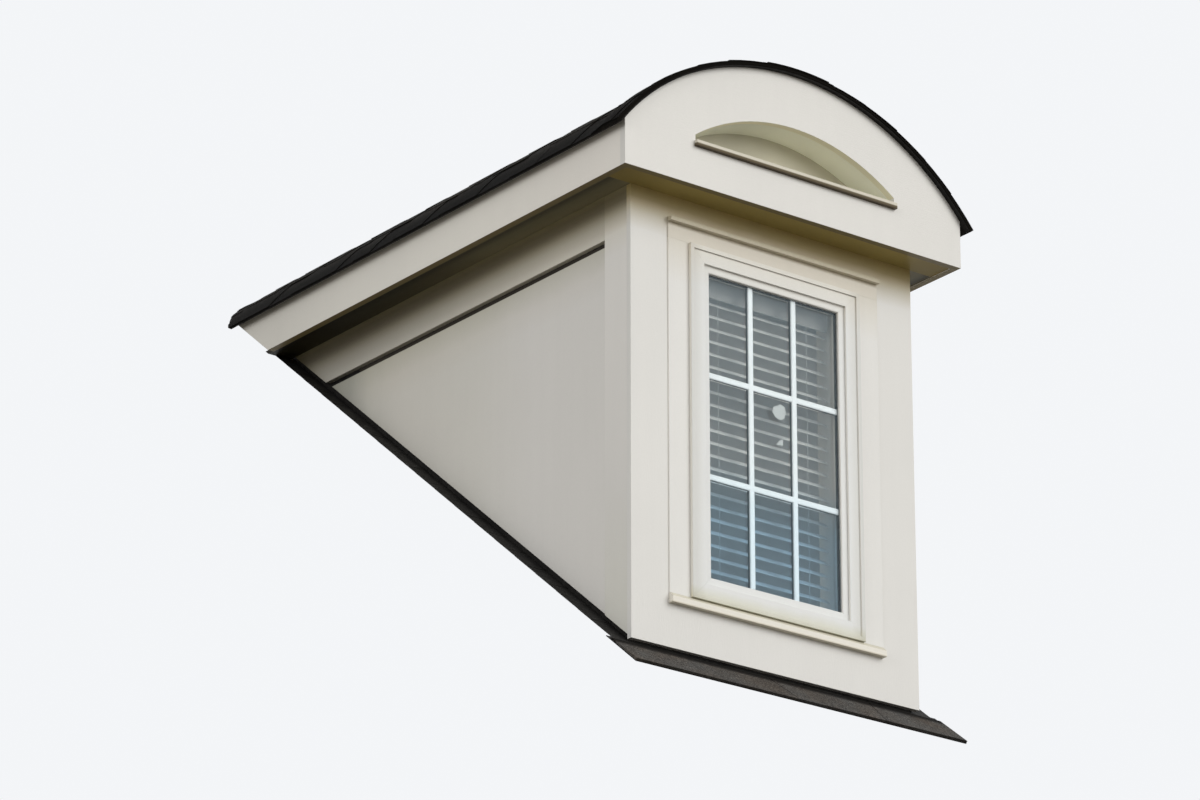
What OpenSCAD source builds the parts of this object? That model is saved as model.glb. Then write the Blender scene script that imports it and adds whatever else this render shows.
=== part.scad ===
// Barrel-roofed dormer window with a segmental pediment, cut off where its walls and
// roof meet the slope of a main roof. Millimetres. X runs along the front wall, Y runs
// into the building and Z is up. The origin is on the bevelled underside of the front
// sole plate, on the plane of symmetry.

/* [Main roof] */
// Slope of the main roof that the dormer stands on, in degrees
pitch = 39.3; // [36:0.1:42]
// Height of the cladding's lower edges above the main roof
clad_clear = 22; // [18:1:30]

/* [Walls] */
// Width of the front wall, over its corner boards
wall_w = 1050; // [1020:10:1200]
// Height of the walls from the front wall's lower edge to the top plates
wall_h = 1385; // [1350:1:1450]
// Thickness of the front wall, cladding and core
front_wall_t = 120; // [110:1:140]
// Thickness of the front wall's smooth cladding
front_clad_t = 18; // [14:1:24]
// Thickness of the cores of the cheek walls
cheek_core_t = 90; // [70:1:110]
// Top of the front sole plate above the front wall's lower edge
sole_top = 100; // [90:1:120]
// Thickness of the raking sole plates, square to the slope
rake_plate_t = 38; // [30:1:50]
// Thickness of the ceiling board
ceiling_t = 12; // [9:0.5:18]

/* [Side boards] */
// Thickness of the corner boards and the frieze boards
side_board_t = 16; // [12:1:22]
// Thickness of the flat cheek panels
cheek_panel_t = 8; // [6:1:11]
// Width of a corner board's side face, from the front face of the wall
corner_board_w = 120; // [112:1:140]
// Height of the frieze boards, down from the top of the walls
frieze_h = 149; // [80:1:190]
// Height of the open joint between a frieze board and its panel
frieze_joint = 18; // [8:1:24]

/* [Barrel roof] */
// Radius of the arc along the tops of the pediment and the side fascias
roof_r = 820; // [760:5:900]
// Thickness of the curved deck between them
deck_t = 12; // [9:0.5:16]
// Thickness of the shingle covering, laps and all
shingle_t = 6; // [4:0.5:10]
// Height of the doubled shingles along the roof's front edge above the others
edge_rise = 9; // [6:0.5:12]
// Width of the doubled shingles, back from the roof's front edge
edge_w = 90; // [60:5:150]
// Reach of the metal edge past the face of the side fascias
tail_reach = 24; // [12:1:40]
// Reach of the metal edge past the face of the pediment
edge_front = 14; // [8:1:24]
// Reach of the shingles past the metal edge
shingle_reach = 4; // [2:0.5:8]
// Thickness of the metal edge over the pediment and the side fascias
drip_t = 2; // [1:0.5:3]
// Depth of the metal edge's lip below the tops of the pediment and the fascias
drip_drop = 2; // [1:1:10]
// Depth of a curved roof rib
rib_depth = 90; // [60:1:110]
// Height of the tie across a rib's foot
rib_tie = 90; // [60:1:100]
// Thickness of a rib
rib_t = 38; // [30:1:45]
// Distance from one rib to the next
rib_step = 400; // [300:10:600]

/* [Eaves] */
// Reach of the pediment past the front wall
front_reach = 110; // [100:1:130]
// Reach of the side fascias past the cheek walls
side_reach = 105; // [95:1:120]
// Thickness of the pediment board and the side fascias
fascia_t = 22; // [18:1:28]
// Reach of the pediment board and the side fascias below the top of the walls
fascia_drop = 15; // [14:1:30]
// Height of the side fascias, up to the deck
fascia_h = 150; // [140:1:180]
// Thickness of the soffit boards
soffit_t = 12; // [9:0.5:14]

/* [Lunette] */
// Half of the arched opening's width, at the ledge
lunette_half = 373.5; // [340:0.5:400]
// Height of the arched opening's upright sides above the ledge
lunette_side = 19; // [10:1:30]
// Rise of the arch above the upright sides
lunette_rise = 120.5; // [100:0.5:135]
// Upper face of the ledge above the top of the walls
ledge_rise = 124; // [122:1:165]
// Thickness of the ledge
ledge_t = 18; // [14:1:30]
// Reach of the ledge past the ends of the arch
ledge_side = 3; // [2:0.5:12]
// Reach of the ledge past the pediment's face
ledge_reach = 12; // [6:1:25]
// Thickness of the arched lining
lining_t = 12; // [8:1:16]
// Thickness of the panel at the back of the lunette
panel_t = 12; // [8:1:16]
// Lap of the panel past the lining and down over the rib's tie
panel_lap = 18; // [10:1:25]

/* [Window frame] */
// Half of the window frame's width, over its mould
frame_half = 316; // [290:1:330]
// Lower edge of the window frame
frame_z0 = 161; // [150:1:200]
// Distance from the window frame's upper edge to the top of the walls
frame_drop = 145; // [130:1:170]
// Width of the frame's outer mould
mould_w = 52; // [50:1:60]
// Width of the raised band along the mould's outer edge
band_w = 13; // [10:1:26]
// Reach of the raised band past the front wall
band_reach = 14; // [12:1:26]
// Reach of the mould's flat face past the front wall
flat_reach = 10; // [8:1:12]
// Distance from the mould's outer edge to the jamb's outer face
jamb_set = 15; // [10:1:20]
// Thickness of the jamb beside the sash
jamb_t = 18; // [14:1:20]
// Width of the stop behind the sash
stop_w = 26; // [20:1:30]
// Shim space between the frame and the wall
shim = 2; // [1:0.5:6]

/* [Casing] */
// Width of the side casings
casing_w = 75; // [60:1:84]
// Height of the head casing
casing_head_h = 50; // [40:1:80]
// Thickness of the casings
casing_t = 4; // [3:0.5:8]
// Height of the sill board
sill_h = 31; // [26:1:45]
// Fall of the sill board's weathered top
sill_fall = 13; // [8:1:16]
// Reach of the sill board past the front wall
sill_reach = 18; // [14:1:30]
// Height of the drip cap
cap_h = 15; // [8:1:18]
// Fall of the drip cap's top
cap_fall = 3; // [1:1:6]
// Reach of the drip cap past the front wall
cap_reach = 19; // [14:1:30]

/* [Sash] */
// Width of the sash's stiles and rails
sash_w = 40; // [30:1:50]
// Depth of the sash
sash_d = 35; // [30:1:40]
// Reach of the sash's face past the front wall
sash_reach = 3; // [1:0.5:6]
// Space between the sash's edges and the jambs
sash_fit = 2; // [0.5:0.5:4]
// Space between the sash's faces and the lip and stop that hold it
sash_seal = 0.3; // [0.1:0.1:0.5]
// Bevel along the sash's inner edge
sash_bevel = 2; // [1:0.5:6]
// Thickness of the glass
glass_t = 6; // [4:0.5:8]
// Distance from the sash's face to the glass
glass_set = 7; // [5:0.5:12]
// Depth of the groove that holds the glass
glass_bite = 8; // [6:1:12]
// Space between the glass and its groove
glass_fit = 0.25; // [0.1:0.05:0.5]

/* [Blind] */
// Space between the blind's ends and the stops
blind_end = 13; // [3:1:20]
// Space between the sash and the slats at their widest
blind_set = 22; // [12:1:25]
// Space between the bottom rail and the stop under it
blind_lift = 4; // [1:1:20]
// Width of a slat
slat_w = 50; // [35:1:52]
// Thickness of a slat
slat_t = 3; // [2:0.5:4]
// Distance from one slat to the next
slat_step = 39; // [36:1:50]
// Tilt of the slats, the room side up, in degrees
slat_tilt = 30; // [10:1:60]
// Height of the headrail with its valance
headrail_h = 88; // [60:1:100]
// Depth of the headrail
headrail_d = 46; // [36:1:50]
// Height of the bottom rail
bottom_rail_h = 16; // [10:1:22]
// Distance from the end of a slat to the middle of the ladder tape
tape_set = 87; // [60:1:120]
// Width of a ladder tape
tape_w = 10; // [5:1:20]
// Thickness of a ladder tape
tape_t = 1.5; // [1:0.5:3]

/* [Flashing] */
// Thickness of the flashing metal
flash_t = 2; // [1:0.5:3]
// Height of the apron's upstand behind the front cladding
upstand_h = 60; // [40:1:80]
// Reach of the apron down the slope from the front wall, measured level
apron_reach = 115; // [80:5:160]
// Reach of the apron past the sides of the front wall
apron_side = 75; // [50:1:100]
// Height of the step flashing's upstand above the main roof
step_h = 110; // [80:1:130]
// Width of the step flashing on the main roof
step_w = 75; // [50:1:95]
// Thickness of the shingle strip that covers the apron
apron_cover_t = 8; // [5:1:10]
// Distance of the shingle strip from the front wall's face
apron_cover_set = 2; // [1:1:20]

/* [Hidden] */
$fn = 180;

// Space between curved faces that lie on each other
lay_gap = 0.3;
// Reach of shapes that are cut to size by another shape
ample = 4000;
steep = tan(pitch);
half_w = wall_w / 2;
core_x1 = half_w - side_board_t - flash_t;
core_x0 = core_x1 - cheek_core_t;
clad_x0 = core_x1 + flash_t;
panel_x1 = clad_x0 + cheek_panel_t;
seat_y = (front_clad_t + front_wall_t) / 2;
fascia_x1 = half_w + side_reach;
fascia_x0 = fascia_x1 - fascia_t;
fascia_z = wall_h - fascia_drop;
roof_arc_z = fascia_z + fascia_h - sqrt(pow(roof_r, 2) - pow(fascia_x1, 2));
frieze_z = wall_h - frieze_h;
pediment_y0 = -front_reach;
pediment_y1 = pediment_y0 + fascia_t;
deck_r1 = roof_r + drip_t;
deck_r0 = deck_r1 - deck_t;
shingle_r0 = deck_r1 + lay_gap;
shingle_r1 = shingle_r0 + shingle_t;
edge_y0 = pediment_y0 - edge_front;
roof_y1 = roof_y(roof_arc_z + shingle_r1);
tail_angle = asin((fascia_x1 + tail_reach) / deck_r1);
soffit_z = wall_h - soffit_t;
ledge_z = wall_h + ledge_rise;
ledge_half = lunette_half + ledge_side;
lunette_r = (pow(lunette_half, 2) + pow(lunette_rise, 2)) / (2 * lunette_rise);
lunette_arc_z = ledge_z + lunette_side + lunette_rise - lunette_r;
frame_z1 = wall_h - frame_drop;
pocket_d = jamb_set + jamb_t;
frame_w = max(mould_w, pocket_d + stop_w);
opening_half = frame_half - jamb_set + shim;
opening_z0 = frame_z0 + jamb_set - shim;
opening_z1 = frame_z1 - jamb_set + shim;
sash_half = frame_half - pocket_d - sash_fit;
sash_z0 = frame_z0 + pocket_d + sash_fit;
sash_z1 = frame_z1 - pocket_d - sash_fit;
casing_x1 = frame_half + casing_w;
casing_z1 = frame_z1 + casing_head_h;
stop_z0 = frame_z0 + pocket_d + stop_w;
stop_z1 = frame_z1 - pocket_d - stop_w;
blind_half = frame_half - pocket_d - stop_w - blind_end;
sash_y0 = -sash_reach;
sash_y1 = sash_y0 + sash_d;
glass_y0 = sash_y0 + glass_set;
blind_y = sash_y1 + blind_set + slat_w / 2;

// Height of the main roof at a distance from the front wall's face, and the reverse
function roof_z(y) = y * steep - clad_clear;
function roof_y(z) = (z + clad_clear) / steep;

// Lower edge of the cladding at a distance from the front wall's face
function clad_z(y) = roof_z(y) + clad_clear;

trim_color = [0.87, 0.86, 0.83];
shade_color = [0.73, 0.71, 0.68];
timber_color = [0.76, 0.62, 0.44];
lining_color = [0.82, 0.80, 0.76];
metal_color = [0.16, 0.15, 0.14];
shingle_color = [0.24, 0.22, 0.21];

// Brings the model's origin from the front wall's lower edge to the sole plate's underside
module seated() translate([0, -seat_y, -roof_z(seat_y)]) children();

// A prism along X from an outline of [y, z] points
module along_x(x0, x1, points) {
    translate([x0, 0, 0]) rotate([90, 0, 90]) linear_extrude(x1 - x0) polygon(points);
}

// A prism along Y from a flat shape drawn in x and z
module along_y(y0, y1) {
    translate([0, y1, 0]) rotate([90, 0, 0]) linear_extrude(y1 - y0) children();
}

// A box from its lowest to its highest corner
module box(low, high) translate(low) cube(high - low);

// What is left of a shape above the main roof, and at least a height above it
module above_main_roof(lift = 0) {
    intersection() {
        children();
        along_x(-ample, ample, [
            [-ample, roof_z(-ample) + lift], [ample, roof_z(ample) + lift],
            [-ample, roof_z(ample) + lift]]);
    }
}

// A right-hand piece, and the same piece mirrored to the left
module left_of_middle() mirror([1, 0, 0]) children();

// Flat band between two radii about the roof's centre, up to an angle on both sides
module band_2d(r0, r1, angle) {
    far = 2 * r1;
    translate([0, roof_arc_z]) intersection() {
        difference() {
            circle(r1);
            circle(r0);
        }
        polygon([[0, 0], [far * sin(angle), far * cos(angle)], [far * sin(angle), far],
                 [-far * sin(angle), far], [-far * sin(angle), far * cos(angle)]]);
    }
}

// Flat region under an arc about the roof's centre and above a height, within a distance
// from the middle
module under_arc_2d(r, z0, half) {
    intersection() {
        translate([0, roof_arc_z]) circle(r - lay_gap);
        translate([-half, z0]) square([2 * half, r]);
    }
}

// Timber frame

module front_sole_plate() color(timber_color) seated() {
    along_x(-core_x1, core_x1, [
        [front_clad_t, roof_z(front_clad_t)], [front_wall_t, roof_z(front_wall_t)],
        [front_wall_t, sole_top], [front_clad_t, sole_top]]);
}

module rake_plate() color(timber_color) seated() {
    rise = rake_plate_t / cos(pitch);
    along_x(core_x0, core_x1, [
        [front_wall_t, roof_z(front_wall_t)], [roof_y(wall_h), wall_h],
        [roof_y(wall_h - rise), wall_h], [front_wall_t, roof_z(front_wall_t) + rise]]);
}

module cheek_wall() color(lining_color) seated() {
    rise = rake_plate_t / cos(pitch);
    along_x(core_x0, core_x1, [
        [front_wall_t, roof_z(front_wall_t) + rise], [roof_y(wall_h - rise), wall_h],
        [front_wall_t, wall_h]]);
}

// Side part of the front wall: its cladding reaches the corner and hides the apron's
// upstand, its core stops short of the corner
module front_wall_side() color(trim_color) seated() union() {
    along_x(opening_half, clad_x0, [
        [0, 0], [front_clad_t - flash_t, 0], [front_clad_t - flash_t, upstand_h],
        [front_clad_t, upstand_h], [front_clad_t, wall_h], [0, wall_h]]);
    box([clad_x0, 0, 0], [half_w, front_clad_t, wall_h]);
    box([opening_half, front_clad_t, sole_top], [core_x1, front_wall_t, wall_h]);
}

module front_wall_head() color(trim_color) seated()
    box([-opening_half, 0, opening_z1], [opening_half, front_wall_t, wall_h]);

module front_wall_below() color(trim_color) seated() {
    along_x(-opening_half, opening_half, [
        [0, 0], [front_clad_t - flash_t, 0], [front_clad_t - flash_t, upstand_h],
        [front_clad_t, upstand_h], [front_clad_t, sole_top], [front_wall_t, sole_top],
        [front_wall_t, opening_z0], [0, opening_z0]]);
}

module ceiling() color(lining_color) seated() {
    z0 = wall_h - ceiling_t;
    along_x(-core_x0, core_x0, [
        [front_wall_t, z0], [roof_y(z0), z0], [roof_y(wall_h), wall_h], [front_wall_t, wall_h]]);
}

module rib_2d() {
    difference() {
        under_arc_2d(deck_r0, wall_h, fascia_x0);
        intersection() {
            translate([0, roof_arc_z]) circle(roof_r - rib_depth);
            translate([-fascia_x0, wall_h + rib_tie]) square([2 * fascia_x0, roof_r]);
        }
    }
}

// One rib behind the pediment, and a row of ribs behind the lunette's panel
module roof_ribs() color(timber_color) seated() above_main_roof() {
    along_y(pediment_y1, pediment_y1 + rib_t) rib_2d();
    for (y = [panel_t : rib_step : roof_y(roof_arc_z + roof_r - rib_depth)])
        along_y(y, y + rib_t) rib_2d();
}

// Side boards

module corner_board() color(shade_color) seated() {
    along_x(clad_x0, half_w, [
        [front_clad_t, clad_z(front_clad_t)], [corner_board_w, clad_z(corner_board_w)],
        [corner_board_w, wall_h], [front_clad_t, wall_h]]);
}

module frieze_board() color(shade_color) seated() {
    along_x(clad_x0, half_w, [
        [corner_board_w, frieze_z], [roof_y(frieze_z - clad_clear), frieze_z],
        [roof_y(wall_h - clad_clear), wall_h], [corner_board_w, wall_h]]);
}

module cheek_panel() color(shade_color) seated() {
    z1 = frieze_z - frieze_joint;
    along_x(clad_x0, panel_x1, [
        [corner_board_w, clad_z(corner_board_w)], [roof_y(z1 - clad_clear), z1],
        [corner_board_w, z1]]);
}

// Casing

module casing_side() color(trim_color) seated()
    box([frame_half, -casing_t, frame_z0], [casing_x1, 0, frame_z1]);

module casing_head() color(trim_color) seated()
    box([-casing_x1, -casing_t, frame_z1], [casing_x1, 0, casing_z1]);

module sill_board() color(trim_color) seated() {
    along_x(-casing_x1, casing_x1, [
        [0, frame_z0], [-casing_t, frame_z0], [-sill_reach, frame_z0 - sill_fall],
        [-sill_reach, frame_z0 - sill_h], [0, frame_z0 - sill_h]]);
}

module drip_cap() color(trim_color) seated() {
    along_x(-casing_x1, casing_x1, [
        [0, casing_z1], [-cap_reach, casing_z1], [-cap_reach, casing_z1 + cap_h - cap_fall],
        [0, casing_z1 + cap_h]]);
}

// Window frame and sash: both are mitred rings, from an outline of [distance in from the
// ring's outer edge, y] points

module ring_stile(outline, half, z0, z1, width) {
    intersection() {
        translate([half, 0, z0]) linear_extrude(z1 - z0) polygon([for (p = outline) [-p[0], p[1]]]);
        along_y(-ample, ample)
            polygon([[half, z0], [half, z1], [half - width, z1 - width], [half - width, z0 + width]]);
    }
}

module ring_rail(outline, half, z0, z1, width, upper) {
    edge = upper ? z1 : z0;
    way = upper ? -1 : 1;
    intersection() {
        along_x(-half, half, [for (p = outline) [p[1], edge + way * p[0]]]);
        along_y(-ample, ample)
            polygon([[-half, edge], [half, edge], [half - width, edge + way * width],
                     [-half + width, edge + way * width]]);
    }
}

// The frame's mould in front of the wall, then the jamb with its pocket for the sash
frame_outline = [
    [0, 0], [0, -band_reach], [band_w, -band_reach], [band_w, -flat_reach],
    [mould_w, -flat_reach], [mould_w, sash_y0 - sash_seal], [pocket_d, sash_y0 - sash_seal],
    [pocket_d, sash_y1 + sash_seal], [pocket_d + stop_w, sash_y1 + sash_seal],
    [pocket_d + stop_w, front_wall_t], [jamb_set, front_wall_t], [jamb_set, 0]];

groove_y0 = glass_y0 - glass_fit;
groove_y1 = glass_y0 + glass_t + glass_fit;
sash_outline = [
    [0, sash_y0], [sash_w - sash_bevel, sash_y0], [sash_w, sash_y0 + sash_bevel], [sash_w, groove_y0],
    [sash_w - glass_bite, groove_y0], [sash_w - glass_bite, groove_y1], [sash_w, groove_y1],
    [sash_w, sash_y1], [0, sash_y1]];

module frame_jambs() color(trim_color) seated() {
    ring_stile(frame_outline, frame_half, frame_z0, frame_z1, frame_w);
    left_of_middle() ring_stile(frame_outline, frame_half, frame_z0, frame_z1, frame_w);
}

module frame_head() color(trim_color) seated()
    ring_rail(frame_outline, frame_half, frame_z0, frame_z1, frame_w, true);

module frame_sill() color(trim_color) seated()
    ring_rail(frame_outline, frame_half, frame_z0, frame_z1, frame_w, false);

module sash_stiles() color(trim_color) seated() {
    ring_stile(sash_outline, sash_half, sash_z0, sash_z1, sash_w);
    left_of_middle() ring_stile(sash_outline, sash_half, sash_z0, sash_z1, sash_w);
}

module sash_rails() color(trim_color) seated() {
    ring_rail(sash_outline, sash_half, sash_z0, sash_z1, sash_w, true);
    ring_rail(sash_outline, sash_half, sash_z0, sash_z1, sash_w, false);
}

module glass() color([0.45, 0.52, 0.58, 0.5]) seated() {
    inset = sash_w - glass_bite + glass_fit;
    box([inset - sash_half, glass_y0, sash_z0 + inset],
        [sash_half - inset, glass_y0 + glass_t, sash_z1 - inset]);
}

// Venetian blind: headrail, tilted slats and bottom rail, joined by ladder tapes

module blind() color([0.80, 0.80, 0.79]) seated() {
    top = stop_z1;
    low = stop_z0 + blind_lift;
    tape_x = blind_half - tape_set;
    first = top - headrail_h - slat_step / 2;
    reach = slat_w / 2 * cos(slat_tilt);
    drop = slat_w / 2 * sin(slat_tilt) + slat_t / 2;
    union() {
        box([-blind_half, blind_y - headrail_d / 2, top - headrail_h],
            [blind_half, blind_y + headrail_d / 2, top]);
        for (z = [first : -slat_step : low + bottom_rail_h + drop])
            translate([0, blind_y, z]) rotate([slat_tilt, 0, 0])
                box([-blind_half, -slat_w / 2, -slat_t / 2], [blind_half, slat_w / 2, slat_t / 2]);
        box([-blind_half, blind_y - headrail_d / 2, low],
            [blind_half, blind_y + headrail_d / 2, low + bottom_rail_h]);
        for (x = [-tape_x, tape_x], y = [blind_y - reach, blind_y + reach - tape_t])
            box([x - tape_w / 2, y, low], [x + tape_w / 2, y + tape_t, top - headrail_h / 2]);
    }
}

// Pediment, fascias and soffits

// The arched opening over the ledge, grown on all sides but its foot
module lunette_2d(grow) {
    half = lunette_half + grow;
    intersection() {
        translate([0, lunette_arc_z]) circle(lunette_r + grow);
        translate([-half, ledge_z]) square([2 * half, lunette_r]);
    }
}

module pediment() color(trim_color) seated() along_y(pediment_y0, pediment_y1) {
    difference() {
        under_arc_2d(roof_r, fascia_z, fascia_x1);
        lunette_2d(0);
        translate([-ledge_half, ledge_z - ledge_t]) square([2 * ledge_half, ledge_t]);
    }
}

module fascia() color(shade_color) seated() above_main_roof(clad_clear) along_y(pediment_y1, roof_y1) {
    intersection() {
        under_arc_2d(roof_r, fascia_z, fascia_x1);
        translate([fascia_x0, 0]) square([fascia_t, ample]);
    }
}

module soffit_front() color(shade_color) seated()
    box([-fascia_x0, pediment_y1, soffit_z], [fascia_x0, 0, wall_h]);

module soffit_side() color(shade_color) seated() {
    along_x(half_w, fascia_x0, [
        [0, soffit_z], [roof_y(soffit_z), soffit_z], [roof_y(wall_h), wall_h], [0, wall_h]]);
}

// Lunette: the ledge is the floor of the recess, the lining is its arched soffit

module lunette_ledge() color(trim_color) seated()
    box([-ledge_half, pediment_y0 - ledge_reach, ledge_z - ledge_t], [ledge_half, 0, ledge_z]);

module lunette_lining() color(shade_color) seated() along_y(pediment_y1, 0) {
    difference() {
        lunette_2d(lining_t);
        lunette_2d(0);
    }
}

module lunette_panel() color(shade_color) seated() along_y(0, panel_t) {
    low = wall_h + rib_tie - panel_lap;
    intersection() {
        translate([0, lunette_arc_z]) circle(lunette_r + panel_lap);
        translate([-ledge_half - panel_lap, low]) square([2 * (ledge_half + panel_lap), roof_r]);
    }
}

// Roof

// What lies between the inner faces of the side fascias
module between_fascias_2d() translate([-fascia_x0, 0]) square([2 * fascia_x0, ample]);

module roof_deck() color(timber_color) seated() above_main_roof() along_y(pediment_y1, roof_y1) {
    intersection() {
        band_2d(deck_r0, deck_r1, tail_angle);
        between_fascias_2d();
    }
}

module roof_shingles() color(shingle_color) seated() above_main_roof() {
    angle = tail_angle + atan((drip_t + shingle_reach) / shingle_r0);
    y0 = edge_y0 - drip_t - shingle_reach;
    union() {
        along_y(y0, roof_y1) band_2d(shingle_r0, shingle_r1, angle);
        along_y(y0, y0 + edge_w) band_2d(shingle_r0, shingle_r1 + edge_rise, angle);
    }
}

// The metal edge covers the tops of the pediment and the side fascias, with a lip outside
module drip_edge() color(metal_color) seated() above_main_roof() {
    angle = tail_angle + atan(drip_t / roof_r);
    union() {
        along_y(edge_y0 - drip_t, edge_y0) band_2d(roof_r - drip_drop, deck_r1, angle);
        along_y(edge_y0, pediment_y1) band_2d(roof_r, deck_r1, angle);
        along_y(pediment_y1, roof_y1) difference() {
            band_2d(roof_r, deck_r1, angle);
            between_fascias_2d();
        }
        along_y(edge_y0, roof_y1) difference() {
            band_2d(roof_r - drip_drop, deck_r1, angle);
            band_2d(roof_r - 2 * drip_drop, deck_r1 + drip_drop, tail_angle);
        }
    }
}

// Flashing on the main roof

module apron_flashing() color(metal_color) seated() {
    rise = flash_t / cos(pitch);
    back = front_clad_t - flash_t;
    side = half_w + apron_side;
    union() {
        along_x(-side, side, [
            [-apron_reach, roof_z(-apron_reach)], [front_clad_t, roof_z(front_clad_t)],
            [front_clad_t, roof_z(front_clad_t) + rise], [-apron_reach, roof_z(-apron_reach) + rise]]);
        box([-clad_x0, back, roof_z(back)], [clad_x0, front_clad_t, upstand_h]);
    }
}

module apron_shingles() color(shingle_color) seated() {
    low = flash_t / cos(pitch);
    high = (flash_t + apron_cover_t) / cos(pitch);
    side = half_w + apron_side;
    along_x(-side, side, [
        [-apron_reach, roof_z(-apron_reach) + low], [-apron_cover_set, roof_z(-apron_cover_set) + low],
        [-apron_cover_set, roof_z(-apron_cover_set) + high], [-apron_reach, roof_z(-apron_reach) + high]]);
}

module step_flashing() color(metal_color) seated() {
    rise = flash_t / cos(pitch);
    upstand = step_h / cos(pitch);
    last = roof_y(soffit_z);
    union() {
        along_x(core_x1, clad_x0, [
            [front_clad_t, roof_z(front_clad_t)], [last, soffit_z],
            [roof_y(soffit_z - upstand), soffit_z], [front_clad_t, roof_z(front_clad_t) + upstand]]);
        along_x(core_x1, core_x1 + step_w, [
            [front_clad_t, roof_z(front_clad_t)], [last, soffit_z],
            [roof_y(soffit_z - rise), soffit_z], [front_clad_t, roof_z(front_clad_t) + rise]]);
    }
}

front_sole_plate();
left_of_middle() rake_plate();  // rake_plate_left
rake_plate();  // rake_plate_right
left_of_middle() front_wall_side();  // front_wall_left
front_wall_side();  // front_wall_right
front_wall_head();
front_wall_below();
left_of_middle() cheek_wall();  // cheek_wall_left
cheek_wall();  // cheek_wall_right
ceiling();
roof_ribs();
left_of_middle() corner_board();  // corner_board_left
corner_board();  // corner_board_right
left_of_middle() frieze_board();  // frieze_board_left
frieze_board();  // frieze_board_right
left_of_middle() cheek_panel();  // cheek_panel_left
cheek_panel();  // cheek_panel_right
left_of_middle() casing_side();  // casing_left
casing_side();  // casing_right
casing_head();
sill_board();
drip_cap();
frame_jambs();
frame_head();
frame_sill();
sash_stiles();
sash_rails();
glass();
blind();
pediment();
left_of_middle() fascia();  // fascia_left
fascia();  // fascia_right
soffit_front();
left_of_middle() soffit_side();  // soffit_left
soffit_side();  // soffit_right
lunette_panel();
lunette_lining();
lunette_ledge();
roof_deck();
roof_shingles();
drip_edge();
apron_flashing();
apron_shingles();
left_of_middle() step_flashing();  // step_flashing_left
step_flashing();  // step_flashing_right
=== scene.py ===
import math
import random

import bmesh
import bpy
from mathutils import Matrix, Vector


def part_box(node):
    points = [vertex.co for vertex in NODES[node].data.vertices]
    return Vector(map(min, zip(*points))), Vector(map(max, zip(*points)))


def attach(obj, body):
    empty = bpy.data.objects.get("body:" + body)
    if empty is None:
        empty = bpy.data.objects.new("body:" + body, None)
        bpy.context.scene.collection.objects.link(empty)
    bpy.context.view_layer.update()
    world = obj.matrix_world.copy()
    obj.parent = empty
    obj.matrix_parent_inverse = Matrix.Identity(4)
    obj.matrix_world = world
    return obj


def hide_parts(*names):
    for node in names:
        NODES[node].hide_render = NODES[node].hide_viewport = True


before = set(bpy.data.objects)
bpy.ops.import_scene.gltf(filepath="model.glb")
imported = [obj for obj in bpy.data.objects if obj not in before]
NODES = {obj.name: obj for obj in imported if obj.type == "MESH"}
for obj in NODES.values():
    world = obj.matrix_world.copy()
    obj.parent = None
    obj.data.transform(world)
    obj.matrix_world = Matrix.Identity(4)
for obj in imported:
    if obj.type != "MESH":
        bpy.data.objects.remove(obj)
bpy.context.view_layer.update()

# Sizes in metres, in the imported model's frame: X along the front wall, Y into the building, Z up.
# The main roof's slope passes through the origin.
PITCH = math.radians(39.3)
SLOPE_NORMAL = Vector((0, -math.sin(PITCH), math.cos(PITCH)))
SLOPE_WAY = Vector((0, math.cos(PITCH), math.sin(PITCH)))


def low(node):
    """Lowest corner of a node's box."""
    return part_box(node)[0]


def high(node):
    """Highest corner of a node's box."""
    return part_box(node)[1]


# Node trees

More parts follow.
